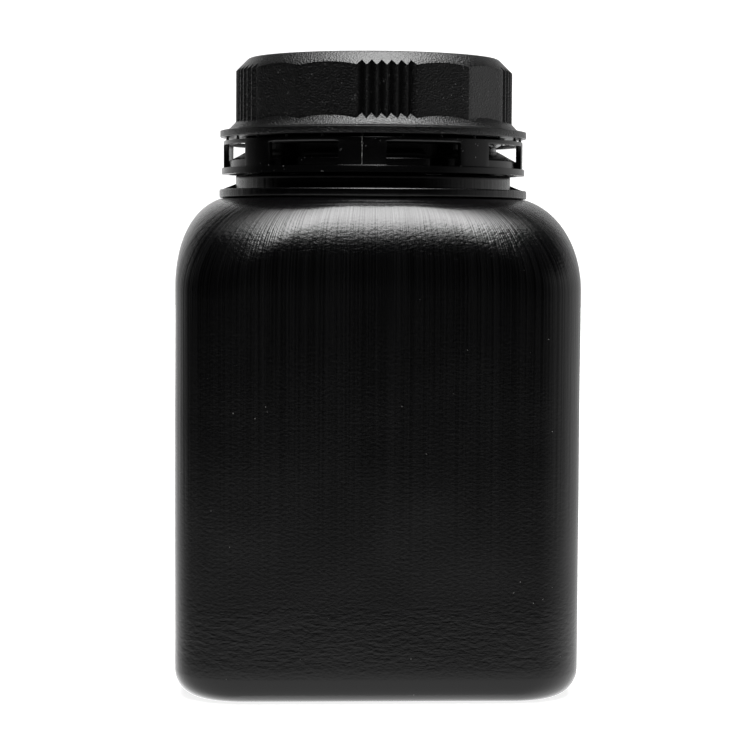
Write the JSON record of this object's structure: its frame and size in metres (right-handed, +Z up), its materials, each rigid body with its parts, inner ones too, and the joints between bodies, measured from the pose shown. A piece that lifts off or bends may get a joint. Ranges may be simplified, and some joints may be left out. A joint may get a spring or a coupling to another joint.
{
  "type": "square specimen jar",
  "caption": "Square wide-neck plastic jar with a ribbed tamper-evident screw cap, for storing and shipping specimens, powders or liquids.",
  "frame": {"origin": "on the table under the middle of the jar's base", "axes": "+Z up along the neck, -Y out of the front face, +X to the right seen from the front"},
  "size_m": [0.0992, 0.0992, 0.1573],
  "materials": {
    "jar": "satin black blow-moulded polyethylene with fine die lines",
    "cap": "fine spark-eroded black injection-moulded plastic",
    "ring": "smooth black injection-moulded plastic",
    "liner": "off-white foamed polyethylene"
  },
  "bodies": {
    "jar": {"jar_body": "jar"},
    "liner": {"liner": "liner"},
    "cap": {"cap": "cap"},
    "ring": {"tamper_ring": "ring", "bridge_pins": "ring"}
  },
  "joints": [
    {"name": "cap_rise", "type": "slide", "parent": "jar", "child": "liner", "axis": [0, 0, 1], "range_m": [0, 0.0196]},
    {"name": "cap_turn", "type": "hinge", "parent": "liner", "child": "cap", "pos_m": [0, 0, 0.1473], "axis": [0, 0, 1], "range_deg": [0, 1170]},
    {"name": "ring_drop", "type": "slide", "parent": "jar", "child": "ring", "axis": [0, 0, 1], "range_m": [-0.0022, 0]}
  ],
  "couplings": [
    {"joint": "cap_rise", "follows": "cap_turn", "m_per_rad": 0.00095493}
  ]
}
